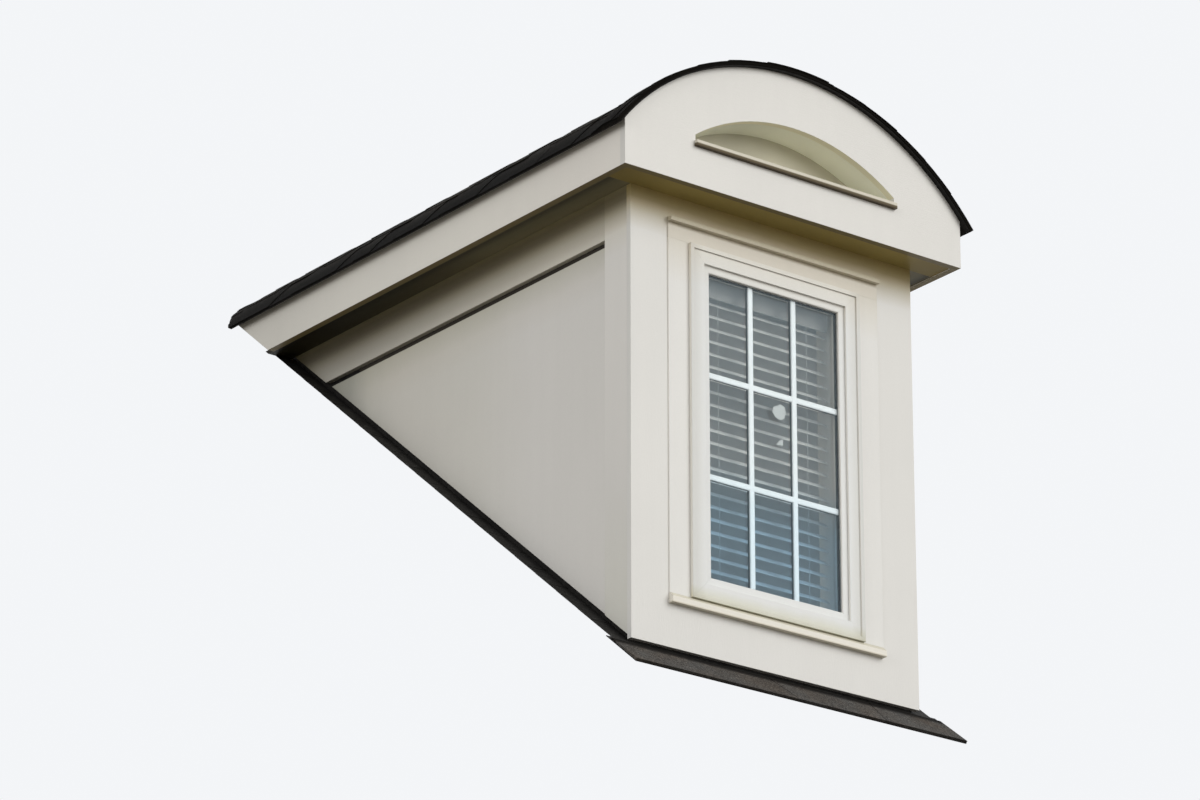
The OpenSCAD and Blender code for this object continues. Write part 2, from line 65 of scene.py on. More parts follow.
class Graph:
    """The node tree of a material or a world, with short calls for the nodes that the finishes share."""

    def __init__(self, owner):
        owner.use_nodes = True
        self.tree = owner.node_tree
        self.tree.nodes.clear()
        self.coordinates = self.node("ShaderNodeTexCoord").outputs
        self.place = self.coordinates["Object"]

    def link(self, source, target):
        self.tree.links.new(source, target)

    def put(self, value, socket):
        """Links a socket to another node's output, or sets it to a number, a colour or a vector."""
        if isinstance(value, bpy.types.NodeSocket):
            self.link(value, socket)
        elif isinstance(value, tuple) and socket.type == "RGBA":
            socket.default_value = (*value, 1)
        else:
            socket.default_value = value

    def node(self, kind, sockets=None, **settings):
        """A new node with its settings and with values or links in its sockets."""
        made = self.tree.nodes.new(kind)
        for key, value in settings.items():
            setattr(made, key, value)
        for key, value in (sockets or {}).items():
            self.put(value, made.inputs[key])
        return made

    def axis(self, name, vector=None):
        """One coordinate of a vector, or of the place in the frame."""
        source = self.place if vector is None else vector
        return self.node("ShaderNodeSeparateXYZ", {"Vector": source}).outputs[name]

    def outlook(self, name):
        """How far a flat face looks along an axis, from -1 to 1."""
        return self.axis(name, self.node("ShaderNodeNewGeometry").outputs["True Normal"])

    def noise(self, scale, detail=2.0, rough=0.5, factors=None):
        """Grey noise in the frame's place, which may be scaled apart along each axis first."""
        return self.node("ShaderNodeTexNoise", {
            "Vector": self.stretched(factors) if factors else self.place, "Scale": scale,
            "Detail": detail, "Roughness": rough}).outputs["Fac"]

    def stretched(self, factors):
        """The place in the frame, scaled apart along each axis."""
        return self.node("ShaderNodeMapping", {"Vector": self.place, "Scale": factors}).outputs["Vector"]

    def ramp(self, value, *stops):
        """Colours or greys at places from 0 to 1."""
        made = self.node("ShaderNodeValToRGB", {"Fac": value})
        elements = made.color_ramp.elements
        while len(elements) < len(stops):
            elements.new(1.0)
        for element, (place, colour) in zip(elements, stops):
            element.position = place
            element.color = (*colour, 1) if isinstance(colour, tuple) else (colour, colour, colour, 1)
        return made.outputs["Color"]

    def mix(self, share, first, second, blend="MIX"):
        return self.node("ShaderNodeMix", {"Factor": share, "A": first, "B": second},
                         data_type="RGBA", blend_type=blend).outputs["Result"]

    def layered(self, base, *layers):
        """A colour multiplied by each layer in turn."""
        for layer in layers:
            base = self.mix(1.0, base, layer, "MULTIPLY")
        return base

    def math(self, operation, first, second=0.0):
        return self.node("ShaderNodeMath", {0: first, 1: second}, operation=operation).outputs["Value"]

    def fit(self, value, from_low, from_high, to_low, to_high):
        return self.node("ShaderNodeMapRange", {
            "Value": value, "From Min": from_low, "From Max": from_high,
            "To Min": to_low, "To Max": to_high}).outputs["Result"]

    def bump(self, height, distance, strength=1.0, normal=None):
        sockets = {"Height": height, "Distance": distance, "Strength": strength}
        if normal is not None:
            sockets["Normal"] = normal
        return self.node("ShaderNodeBump", sockets).outputs["Normal"]

    def seen(self):
        """1 on the rays that show the background: to the camera, in a reflection or through glass."""
        path = self.node("ShaderNodeLightPath").outputs
        direct = self.math("MAXIMUM", path["Is Camera Ray"], path["Is Glossy Ray"])
        return self.math("MAXIMUM", direct, path["Is Transmission Ray"])


class Finish(Graph):
    """A material with one Principled shader."""

    SOCKETS = {"colour": "Base Color", "rough": "Roughness", "normal": "Normal",
               "shine": "Specular IOR Level"}

    def __init__(self, name):
        self.material = bpy.data.materials.new(name)
        super().__init__(self.material)
        self.output = self.node("ShaderNodeOutputMaterial")
        self.shader = self.node("ShaderNodeBsdfPrincipled")
        self.link(self.shader.outputs["BSDF"], self.output.inputs["Surface"])

    def finish(self, **values):
        for key, value in values.items():
            self.put(value, self.shader.inputs[self.SOCKETS[key]])
        return self.material


# Kinds of finish

# How far grime and painted shade reach out of a corner, and the radius of a painted edge
CORNER_REACH = 0.02
EDGE_RADIUS = 0.0018
GRIME_AND_SHADE = (0.20, 0.175, 0.12)
CUT_EDGE = (0.007, 0.0062, 0.0052)
# Painted shade under a shingle's butt
BUTT_SHADE = (0.006, 0.0055, 0.005)
# What a coated pane gives back of white light; its blue also stands in for the sky's blue, as painted
# reflection
COATING = (0.66, 0.86, 0.96)
# Height of the blind's valance
VALANCE_H = 0.060


def along_grain(way, along, across):
    """A texture's scales: one along the grain's axis and one across it."""
    return tuple(along if axis == way else across for axis in "xyz")


def paint_layers(g, colour):
    """Paint with faint clouds, faint streaks down it and a fine speckle."""
    clouds = g.ramp(g.noise(2.2, 5, 0.55), (0.3, 0.965), (0.7, 1.0))
    streaks = g.ramp(g.noise(1.0, 3, 0.5, factors=(26, 26, 1.6)), (0.35, 1.0), (0.75, 0.985))
    speckle = g.ramp(g.noise(160, 2), (0.3, 0.985), (0.7, 1.0))
    return g.layered(colour, clouds, streaks, speckle)


def painted(name, colour, grain, soft_edges=True, rough=0.42, grime_and_shade=0.0, stains_and_shades=(), shine=0.5):
    """Exterior paint on a board: brush marks along it, grime and painted shade in its corners, then its
    stains and its painted light and shade in turn.
    """
    g = Finish(name)
    base = paint_layers(g, colour)
    if grime_and_shade:
        # Painted shade: occlusion in the corners darkens the colour, as grime and shade together
        corner = g.node("ShaderNodeAmbientOcclusion", {"Distance": CORNER_REACH}, samples=6).outputs["AO"]
        patchy = g.fit(g.noise(22, 4), 0.3, 0.7, 0.55, 1.0)
        base = g.mix(g.math("MULTIPLY", g.fit(corner, 0.25, 0.75, grime_and_shade, 0.0), patchy), base, GRIME_AND_SHADE)
    for stain_and_shade in stains_and_shades:
        base = stain_and_shade(g, base)
    edges = None
    if soft_edges:
        edges = g.node("ShaderNodeBevel", {"Radius": EDGE_RADIUS}, samples=4).outputs["Normal"]
    brush = g.noise(34, 3, 0.6, factors=along_grain(grain, 1, 14))
    normal = g.bump(g.noise(520, 2), 0.0005, 0.3, g.bump(brush, 0.0011, 0.35, edges))
    return g.finish(colour=base, rough=g.fit(brush, 0.3, 0.7, rough - 0.06, rough + 0.08), normal=normal,
                    shine=shine)


def graded(axis, start, end, *stops, wobble=0.0, size=9.0, mirrored=False):
    """A tint along an axis: colours at shares of the way from start to end, with an uneven edge. It paints
    light and shade, and some grime.
    """
    def stain_and_shade(g, base):
        place = g.axis(axis)
        if mirrored:
            place = g.math("ABSOLUTE", place)
        if wobble:
            place = g.math("ADD", place, g.fit(g.noise(size, 3), 0.3, 0.7, -wobble, wobble))
        return g.layered(base, g.ramp(g.fit(place, start, end, 0.0, 1.0), *stops))
    return stain_and_shade


def facing(axis, way, colour, under=None, others=False):
    """A tint on the faces that look one way along an axis, or on all others, or below a height. It paints
    light and shade by the way a face looks, and also the dark of an underlay and of a dirty sill top.
    """
    def stain_and_shade(g, base):
        mask = g.fit(g.outlook(axis), 0.5 * way, 0.7 * way, float(others), float(not others))
        if under is not None:
            mask = g.math("MULTIPLY", mask, g.fit(g.axis("Z"), under, under + 0.001, 1.0, 0.0))
        return g.mix(mask, base, colour)
    return stain_and_shade


def granules(name, dark, middle, light, fade):
    """Asphalt shingle: coloured granules, tone from shingle to shingle, painted shade under each butt and
    along the eaves.
    """
    g = Finish(name)
    tone = g.node("ShaderNodeAttribute", attribute_name="tone").outputs["Fac"]
    shade = g.node("ShaderNodeAttribute", attribute_name="shade").outputs["Fac"]
    grains = g.node("ShaderNodeTexVoronoi", {"Vector": g.place, "Scale": 520.0}).outputs["Color"]
    grain = g.node("ShaderNodeSeparateColor", {"Color": grains}).outputs["Red"]
    speckle = g.ramp(grain, (0.0, 0.42), (0.45, 0.9), (0.8, 1.25), (1.0, 2.1))
    coarse = g.ramp(g.noise(85, 4, 0.7), (0.28, 0.62), (0.72, 1.35))
    blotch = g.ramp(g.noise(6.0, 4, 0.6), (0.3, 0.78), (0.7, 1.18))
    warm = g.ramp(g.noise(11.0, 3, 0.5), (0.35, (1.06, 1.0, 0.94)), (0.65, (0.95, 1.0, 1.03)))
    base = g.layered(g.ramp(tone, (0.0, dark), (0.55, middle), (1.0, light)), speckle, coarse, blotch, warm)
    dusty = g.math("MULTIPLY", g.fit(g.noise(17, 3), 0.5, 0.8, 0.0, 1.0), 0.35)
    base = g.mix(shade, g.mix(dusty, base, fade), BUTT_SHADE)
    base = g.mix(g.fit(g.outlook("Y"), -0.9, -0.75, 1.0, 0.0), base, CUT_EDGE)
    normal = g.bump(g.noise(70, 4, 0.7), 0.002, 0.5, g.bump(grain, 0.0009, 0.6))
    return g.finish(colour=base, rough=0.93, normal=normal, shine=0.04)


def coated_metal(name, colour, rough):
    """Bent sheet metal with a dark factory coat, a little chalky and streaked."""
    g = Finish(name)
    clouds = g.ramp(g.noise(7, 4, 0.6), (0.3, 0.7), (0.7, 1.35))
    streaks = g.ramp(g.noise(1.0, 3, 0.5, factors=(60, 60, 4)), (0.4, 0.85), (0.7, 1.3))
    chalk = g.fit(g.noise(40, 3), 0.3, 0.7, rough - 0.08, rough + 0.12)
    dents = g.bump(g.noise(14, 2), 0.002, 0.25)
    return g.finish(colour=g.layered(colour, clouds, streaks), rough=chalk, normal=dents, shine=0.08)


def sawn_timber(name, pale, dark, grain):
    """Construction timber: growth lines along the piece, saw marks across, a few stains."""
    g = Finish(name)
    factors = along_grain(grain, 0.6, 9)
    lines = g.node("ShaderNodeTexWave", {
        "Vector": g.stretched(factors), "Scale": 1.6, "Distortion": 7.0, "Detail": 4.0,
        "Detail Scale": 1.2}, wave_type="RINGS", rings_direction=grain.upper()).outputs["Fac"]
    fibres = g.noise(60, 5, 0.7, factors=factors)
    blotch = g.noise(3.1, 4)
    base = g.layered(g.mix(g.fit(lines, 0.2, 0.9, 0.0, 0.75), pale, dark),
                     g.ramp(fibres, (0.3, 0.84), (0.7, 1.08)), g.ramp(blotch, (0.3, 0.82), (0.7, 1.06)))
    marks = g.noise(240, 2, 0.5, factors=along_grain(grain, 1, 0.1))
    normal = g.bump(fibres, 0.0015, 0.5, g.bump(marks, 0.0008, 0.35))
    return g.finish(colour=base, rough=g.fit(fibres, 0.3, 0.7, 0.68, 0.86), normal=normal)


def lining_board(name, colour, stains_and_shades=()):
    """Primed lining boards inside: roller stipple and faint scuffs."""
    g = Finish(name)
    clouds = g.ramp(g.noise(4, 5, 0.6), (0.3, 0.93), (0.7, 1.0))
    scuffs = g.ramp(g.noise(1.0, 5, 0.65, factors=(5, 18, 5)), (0.55, 1.0), (0.85, 0.9))
    base = g.layered(colour, clouds, scuffs)
    for stain_and_shade in stains_and_shades:
        base = stain_and_shade(g, base)
    return g.finish(colour=base, rough=0.82, normal=g.bump(g.noise(330, 3, 0.6), 0.0008, 0.5))


def blind_finish(name, colour):
    """Matt slats with a faint wood emboss and a film of dust, under a valance painted darker, as painted
    shade.
    """
    g = Finish(name)
    foot = high("blind").z - VALANCE_H
    dust = g.ramp(g.noise(9, 4), (0.35, 0.93), (0.7, 1.0))
    base = graded("Z", foot - 0.0005, foot + 0.0005, (0.0, 1.0), (1.0, 0.60))(g, g.layered(colour, dust))
    grain = g.noise(40, 4, 0.6, factors=(0.5, 12, 12))
    return g.finish(colour=base, rough=0.55, normal=g.bump(grain, 0.0004, 0.4))


def window_glass(name, foot_tint, head_tint, waviness):
    """A pane with faint roller waves and a film of dust, tinted at its foot and above it; the bluer foot is
    painted reflection of the sky.

    Lamps shine through it."""
    g = Finish(name)
    g.put(1.0, g.shader.inputs["Transmission Weight"])
    g.put(1.5, g.shader.inputs["IOR"])
    g.put(COATING, g.shader.inputs["Specular Tint"])
    height = g.fit(g.axis("Z"), PANE_LOW.z, PANE_HIGH.z, 0.0, 1.0)
    tint = g.ramp(height, (0.25, foot_tint), (0.42, head_tint))
    film = g.fit(g.noise(30, 4, 0.6), 0.4, 0.8, 0.0, 0.05)
    waves = g.bump(g.noise(2.6, 1, factors=(1, 1, 0.6)), waviness, 0.08)
    material = g.finish(colour=tint, rough=film, normal=waves)
    clear = g.node("ShaderNodeBsdfTransparent", {"Color": tint}).outputs["BSDF"]
    shadow = g.node("ShaderNodeLightPath").outputs["Is Shadow Ray"]
    switch = g.node("ShaderNodeMixShader", {"Fac": shadow, 1: g.shader.outputs["BSDF"], 2: clear})
    g.link(switch.outputs["Shader"], g.output.inputs["Surface"])
    return material


def spacer_finish(name):
    """Dark sealed spacer between the panes."""
    g = Finish(name)
    base = g.ramp(g.noise(120, 3), (0.3, (0.012, 0.013, 0.014)), (0.7, (0.022, 0.023, 0.025)))
    return g.finish(colour=base, rough=0.5, normal=g.bump(g.noise(300, 2), 0.0004, 0.3))


# Colours

CREAM = (0.735, 0.722, 0.685)
BOARD_CREAM = (0.735, 0.715, 0.675)
CASING_CREAM = (0.76, 0.748, 0.712)
# Painted light: the casing's and window's faces that look to -X are painted lighter
CASING_SIDE = (0.90, 0.88, 0.83)
SILL_CREAM = (0.81, 0.775, 0.69)
# The sill's top: grime and painted shade under the window's mould
SILL_TOP = (0.55, 0.52, 0.42)
WINDOW_WHITE = (0.76, 0.765, 0.745)
# Painted light: the bars behind the outer pane are a lighter white than the window
MUNTIN_WHITE = (0.93, 0.95, 0.96)
# Painted shade: the white paper labels are painted grey
LABEL_GREY = (0.55, 0.56, 0.55)
EAVE_CREAM = (0.76, 0.745, 0.705)
# Painted shade: the faces under the pediment and the fascias, dark like the soffit
EAVE_FOOT = (0.19, 0.15, 0.07)
# Painted light: the fascias are a lighter copy of the cream
FASCIA_CREAM = (0.80, 0.775, 0.71)
# Painted shade: the soffits' khaki paint is darkened, as the shade under the eaves
SOFFIT_FRONT = (0.37, 0.29, 0.10)
SOFFIT_SIDE = (0.20, 0.18, 0.12)
# Painted light: the lunette arch's faces that look down, lighter and yellower than the cream
ARCH_EDGE = (0.93, 0.90, 0.70)
# Painted light and shade in the lunette: its lining lighter and yellower than the cream, its panel darker
# and yellower
LUNETTE_ARCH = (0.86, 0.88, 0.76)
LUNETTE_PANEL = (0.60, 0.575, 0.455)
LEDGE_CREAM = (0.66, 0.62, 0.52)
TIMBER_TONES = ((0.66, 0.49, 0.30), (0.40, 0.25, 0.13))
LINING = (0.74, 0.72, 0.68)
# A black underlay; its dark also stands in for the shade deep in the joints of the boards
UNDERLAY_AND_JOINT_SHADE = (0.030, 0.024, 0.017)
METAL = (0.016, 0.015, 0.014)
SLAT_WHITE = (0.78, 0.79, 0.79)
# Painted shade: the grey of the cloth behind the slats stands in for the shaded room
CLOTH_GREY = (0.62, 0.60, 0.58)
# Shingles: the darkest, middle and lightest tone, and the dusty one
SHINGLE_TONES = ((0.012, 0.011, 0.0098), (0.027, 0.0245, 0.021), (0.046, 0.042, 0.036),
                 (0.060, 0.056, 0.050))
APRON_TONES = ((0.030, 0.027, 0.024), (0.062, 0.056, 0.050), (0.095, 0.087, 0.080), (0.11, 0.102, 0.092))
# Glass: the tint at the foot and the one above it; the bluer foot is painted reflection of the sky
OUTER_TINTS = ((0.90, 0.95, 0.965), (0.94, 0.96, 0.955))
INNER_TINTS = ((0.70, 0.79, 0.86), (0.92, 0.91, 0.90))


# Painted light and shade: tints along the boards that stand in for the shade of the eaves and the roof, and
# for light; a few are partly grime

EAVE_Z = low("soffit_front").z
HEAD_Z = high("casing_left").z
SILL_Z = low("frame_sill").z
WALL_X = high("corner_board_right").x
FRAME_X = high("frame_head").x

# Painted shade under the soffits: the front wall, its casing's head, the corner boards and the friezes,
# brown in the soffits' shade
WALL_SHADE = graded("Z", EAVE_Z - 0.133, EAVE_Z, (0.0, 1.0), (0.38, (0.83, 0.79, 0.69)),
                    (0.50, (0.74, 0.68, 0.53)), (0.62, (0.64, 0.55, 0.38)), (0.74, (0.51, 0.42, 0.235)),
                    (0.87, (0.53, 0.43, 0.20)), (1.0, (0.60, 0.47, 0.20)), wobble=0.003)
HEAD_SHADE = graded("Z", EAVE_Z - 0.15, EAVE_Z - 0.072, (0.0, (0.89, 0.855, 0.78)),
                    (0.25, (0.92, 0.88, 0.80)), (0.72, (0.94, 0.89, 0.80)), (0.84, (0.76, 0.70, 0.57)),
                    (1.0, (0.70, 0.64, 0.49)))
CORNER_SHADE = graded("Z", EAVE_Z - 0.20, EAVE_Z, (0.0, 1.0), (0.35, (0.94, 0.93, 0.88)),
                      (0.45, (0.80, 0.77, 0.69)), (0.56, (0.62, 0.59, 0.50)), (0.67, (0.41, 0.375, 0.28)),
                      (0.73, (0.29, 0.26, 0.18)), (0.81, (0.19, 0.16, 0.095)), (0.91, (0.21, 0.18, 0.10)),
                      (1.0, (0.40, 0.35, 0.20)))
FRIEZE_SHADE = graded("Z", EAVE_Z - 0.130, EAVE_Z, (0.0, (0.86, 0.84, 0.76)), (0.15, (0.71, 0.68, 0.60)),
                      (0.33, (0.57, 0.54, 0.45)), (0.50, (0.38, 0.345, 0.255)), (0.57, (0.28, 0.25, 0.17)),
                      (0.65, (0.20, 0.17, 0.105)), (0.72, (0.17, 0.14, 0.08)), (0.86, (0.19, 0.16, 0.085)),
                      (1.0, (0.38, 0.33, 0.18)))
# Painted light: the corner boards lighter towards the top
CORNER_HEIGHT = graded("Z", EAVE_Z - 1.2385, EAVE_Z - 0.0885, (0.0, (0.95, 0.96, 0.92)), (0.3, 1.0),
                       (0.65, 1.06), (0.82, 1.09), (0.92, 1.09), (1.0, 1.12))
# Painted light and shade: the cheeks and what lies over them darker towards the back and under the friezes,
# the side soffits lighter next to the wall and darker along the fascias, the front soffit darker at its
# ends, the fascias lighter towards the front
FRIEZE_DEPTH = graded("Y", 0.25, 1.35, (0.0, 1.0), (0.5, 0.79), (1.0, 0.62))
CHEEK_HEAD = graded("Z", EAVE_Z - 0.30, EAVE_Z - 0.145, (0.0, 1.0), (0.45, (0.96, 0.95, 0.93)),
                    (1.0, (0.76, 0.755, 0.68)), wobble=0.006)
CHEEK_BACK = graded("Y", 0.40, 1.32, (0.0, 1.0), (0.3, (0.93, 0.93, 0.90)), (0.75, (0.86, 0.85, 0.81)),
                    (0.9, (0.78, 0.78, 0.73)), (1.0, (0.57, 0.58, 0.55)), wobble=0.02, size=5.0)
SOFFIT_DEPTH = graded("Y", 0.55, 1.35, (0.0, (0.96, 0.95, 0.85)), (0.28, (0.54, 0.51, 0.44)),
                      (0.50, (0.31, 0.30, 0.24)), (0.73, (0.21, 0.205, 0.16)), (1.0, (0.11, 0.105, 0.08)))
SOFFIT_EDGE = graded("X", WALL_X + 0.012, WALL_X + 0.095, (0.0, 1.25), (0.25, 1.0), (0.43, 0.84),
                     (0.58, 0.54), (0.72, 0.32), (0.87, 0.86), (1.0, 0.90), mirrored=True)
SOFFIT_ENDS = graded("X", WALL_X - 0.125, WALL_X + 0.075, (0.0, 1.0), (1.0, (0.70, 0.68, 0.64)),
                     mirrored=True)
FASCIA_DEPTH = graded("Y", 0.0, 1.55, (0.0, (1.08, 1.07, 1.08)), (0.35, (1.07, 1.07, 1.07)), (0.75, 1.0),
                      (1.0, 0.90))
# Painted light: the lunette lighter to one side. Painted shade and grime: the dark foot of its ledge
ARCH_LIGHT = graded("X", -0.14, 0.06, (0.0, 0.98), (1.0, 1.24))
PANEL_LIGHT = graded("X", -0.13, 0.01, (0.0, 0.86), (1.0, 1.06))
LEDGE_FOOT = graded("Z", low("lunette_ledge").z, high("lunette_ledge").z, (0.0, (0.12, 0.095, 0.065)),
                    (0.40, (0.20, 0.17, 0.12)), (0.58, 1.0))
# The window and its casing: painted shade under the eaves, warm and darker at the heads; grime and painted
# shade at the window's foot and beside the jambs; a painted shadow at the sill's foot
CASING_TOP = graded("Z", HEAD_Z - 0.1355, HEAD_Z + 0.0095, (0.0, 1.0), (1.0, (0.90, 0.865, 0.79)))
WINDOW_TOP = graded("Z", HEAD_Z - 0.1255, HEAD_Z - 0.0055, (0.0, 1.0), (1.0, (0.97, 0.93, 0.86)))
WINDOW_FOOT = graded("Z", SILL_Z - 0.0015, SILL_Z + 0.0415, (0.0, (0.80, 0.78, 0.65)),
                     (0.22, (0.86, 0.84, 0.73)), (0.45, (0.90, 0.89, 0.80)), (1.0, 1.0),
                     wobble=0.003, size=14.0)
JAMB_SHADE = graded("X", FRAME_X - 0.048, FRAME_X - 0.006, (0.0, 1.0), (0.4, (0.94, 0.935, 0.92)),
                    (1.0, (0.88, 0.87, 0.85)), mirrored=True)
SILL_FOOT = graded("Z", low("sill_board").z, high("sill_board").z, (0.0, (0.78, 0.76, 0.70)),
                   (0.10, (0.90, 0.88, 0.84)), (0.16, 1.0))
# Painted light on the faces that look to -X
SIDE_LIGHT = facing("X", -1, CASING_SIDE)


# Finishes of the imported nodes

def both_sides(**finishes):
    """The same finish for the left and the right one of each pair of nodes."""
    return {f"{name}_{side}": finish for name, finish in finishes.items() for side in ("left", "right")}


def eaves_finishes():
    """Pediment, fascias, soffits and the blind lunette."""
    # Painted shade under the pediment and fascias
    dark_foot = facing("Z", -1, EAVE_FOOT, under=low("pediment").z + 0.001)
    # Painted light on the arch's faces that look down, then the painted shade under the pediment
    eaves = [facing("Z", -1, ARCH_EDGE), dark_foot]
    fascia = painted("fascia_paint", FASCIA_CREAM, "y", stains_and_shades=[FASCIA_DEPTH, dark_foot], shine=0.15)
    soffit = painted("soffit_paint_y", SOFFIT_SIDE, "y", stains_and_shades=[SOFFIT_DEPTH, SOFFIT_EDGE], shine=0.1)
    return {
        "pediment": painted("pediment_paint", EAVE_CREAM, "x", stains_and_shades=eaves, shine=0.15),
        "soffit_front": painted("soffit_paint_x", SOFFIT_FRONT, "x", stains_and_shades=[SOFFIT_ENDS], shine=0.1),
        "lunette_panel": painted("lunette_paint_x", LUNETTE_PANEL, "x", stains_and_shades=[PANEL_LIGHT], shine=0.2),
        "lunette_lining": painted("lunette_paint_y", LUNETTE_ARCH, "y", stains_and_shades=[ARCH_LIGHT], shine=0.2),
        "lunette_ledge": painted("ledge_paint", LEDGE_CREAM, "x", stains_and_shades=[LEDGE_FOOT], shine=0.2),
        **both_sides(fascia=fascia, soffit=soffit),
    }


def wall_finishes():
    """Front wall, boards of the corners and cheeks, casing and sill."""
    wall = painted("wall_paint", CREAM, "z", soft_edges=False, stains_and_shades=[WALL_SHADE])
    head = painted("casing_paint_x", CREAM, "x", stains_and_shades=[HEAD_SHADE])
    sill = painted("sill_paint", SILL_CREAM, "x", stains_and_shades=[facing("Z", 1, SILL_TOP), SILL_FOOT], shine=0.25)
    return {
        "front_wall_head": wall, "front_wall_below": wall,
        "casing_head": head, "drip_cap": head, "sill_board": sill,
        **both_sides(
            front_wall=wall,
            casing=painted("casing_paint_z", CASING_CREAM, "z", stains_and_shades=[SIDE_LIGHT, CASING_TOP]),
            corner_board=painted("corner_paint", BOARD_CREAM, "z", stains_and_shades=[CORNER_HEIGHT, CORNER_SHADE]),
            frieze_board=painted("frieze_paint", BOARD_CREAM, "y", stains_and_shades=[FRIEZE_SHADE, FRIEZE_DEPTH]),
            cheek_panel=painted("cheek_paint", BOARD_CREAM, "z", stains_and_shades=[CHEEK_HEAD, CHEEK_BACK])),
    }


def window_finishes():
    """Frame, sash, outer pane and blind."""
    # The window paint has grime and painted shade in its corners, and painted light and shade along it
    stains_and_shades = [SIDE_LIGHT, JAMB_SHADE, WINDOW_FOOT, WINDOW_TOP]
    upright, level = (painted("window_paint_" + grain, WINDOW_WHITE, grain, rough=0.34, grime_and_shade=0.05,
                              stains_and_shades=stains_and_shades) for grain in "zx")
    return {
        "frame_jambs": upright, "frame_head": level, "frame_sill": level,
        "sash_stiles": upright, "sash_rails": level,
        "glass": window_glass("outer_glass", *OUTER_TINTS, 0.012),
        "blind": blind_finish("blind_slats", SLAT_WHITE),
    }


def core_finishes():
    """Timber and linings. The cheek cores are dark outside, where they show in the joint of the boards: a
    black underlay, which also stands in for the joint's shade.
    """
    timber = {grain: sawn_timber("timber_" + grain, *TIMBER_TONES, grain) for grain in "xy"}
    cores = {f"cheek_wall_{side}": lining_board("cheek_core_" + side, LINING,
                                                [facing("X", inward, UNDERLAY_AND_JOINT_SHADE, others=True)])
             for side, inward in (("left", 1), ("right", -1))}
    return {
        "front_sole_plate": timber["x"], "roof_ribs": timber["x"], "roof_deck": timber["y"],
        "ceiling": lining_board("wall_lining", LINING), **cores, **both_sides(rake_plate=timber["y"]),
    }


def cover_finishes():
    """Shingles and sheet metal."""
    metal = coated_metal("flashing_metal", METAL, 0.6)
    return {
        "roof_shingles": granules("shingle_granules", *SHINGLE_TONES),
        "apron_shingles": granules("apron_granules", *APRON_TONES),
        "drip_edge": metal, "apron_flashing": metal, **both_sides(step_flashing=metal),
    }


def dress_nodes():
    """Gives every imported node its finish, and returns them by node."""
    finishes = {**eaves_finishes(), **wall_finishes(), **window_finishes(), **core_finishes(),
                **cover_finishes()}
    for node, finish in finishes.items():
        NODES[node].data.materials.clear()
        NODES[node].data.materials.append(finish)
    return finishes


# Meshes

def new_piece(name, shape, material, replaced=(), smooth_angle=None):
    """Makes an object of a bmesh, rides it on the one body and hides the nodes that it replaces."""
    bmesh.ops.recalc_face_normals(shape, faces=shape.faces)
    mesh = bpy.data.meshes.new(name)
    shape.to_mesh(mesh)
    shape.free()
    if smooth_angle:
        mesh.shade_smooth()
        mesh.set_sharp_from_angle(angle=math.radians(smooth_angle))
    piece = bpy.data.objects.new(name, mesh)
    bpy.context.scene.collection.objects.link(piece)
    mesh.materials.append(material)
    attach(piece, "root")
    if replaced:
        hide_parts(*replaced)
    return piece


def add_loops(shape, loops, paints=None):
    """A closed solid over loops of points with equal counts. Paints gives each loop's values."""
    rows = []
    for number, loop in enumerate(loops):
        row = [shape.verts.new(point) for point in loop]
        for layer, values in (paints or {}).items():
            for vertex in row:
                vertex[layer] = values[number]
        rows.append(row)
    for one, two in zip(rows, rows[1:]):
        count = len(one)
        for i in range(count):
            j = (i + 1) % count
            shape.faces.new((one[i], one[j], two[j], two[i]))
    shape.faces.new(rows[0][::-1])
    shape.faces.new(rows[-1])


def add_box(shape, low_corner, high_corner):
    x0, y0, z0 = low_corner
    x1, y1, z1 = high_corner
    add_loops(shape, [[(x, y0, z0), (x, y1, z0), (x, y1, z1), (x, y0, z1)] for x in (x0, x1)])


def shingled_shape():
    """A bmesh whose vertices carry a shingle's tone and shade, and those two layers."""
    shape = bmesh.new()
    tone = shape.verts.layers.float.new("tone")
    shade = shape.verts.layers.float.new("shade")
    return shape, tone, shade


def cut_above_slope(shape, clearance=0.001):
    """Cuts everything off below the main roof's slope and closes the cuts."""
    bmesh.ops.bisect_plane(
        shape, geom=shape.verts[:] + shape.edges[:] + shape.faces[:],
        plane_co=SLOPE_NORMAL * clearance, plane_no=SLOPE_NORMAL, clear_inner=True, dist=1e-6)
    open_edges = [edge for edge in shape.edges if edge.is_boundary]
    bmesh.ops.holes_fill(shape, edges=open_edges, sides=0)


# Barrel roof covering

# Radii of the covering: inside, outside, and outside over the doubled strips at the front edge
COVER_R0 = 0.8226
COVER_R1 = 0.8286
EDGE_R1 = 0.8376
ARC_Z = high("roof_shingles").z - EDGE_R1
COVER_Y0 = low("roof_shingles").y
COVER_Y1 = high("roof_shingles").y
EAVE_ANGLE = math.asin(high("roof_shingles").x / EDGE_R1)
# A shingle: what shows of it, its length, the joint beside it, the room under it, and its top over the
# deck at its butt and at the next one
EXPOSURE = 0.127
SHINGLE_LENGTH = 1.0
JOINT = 0.0015
SEAT = 0.0001
BUTT_TOP = 0.0036
HEAD_TOP = 0.0018
# Its upper layer: tabs of these widths and gaps, as thick as this, sunk a little into the lower layer
TAB_WIDTHS = (0.10, 0.13, 0.16, 0.20, 0.24)
TAB_GAPS = (0.05, 0.08, 0.11, 0.15)
TAB_T = 0.0024
TAB_SINK = 0.0004
COURSE_ANGLE = EXPOSURE / COVER_R1
COURSES = 6
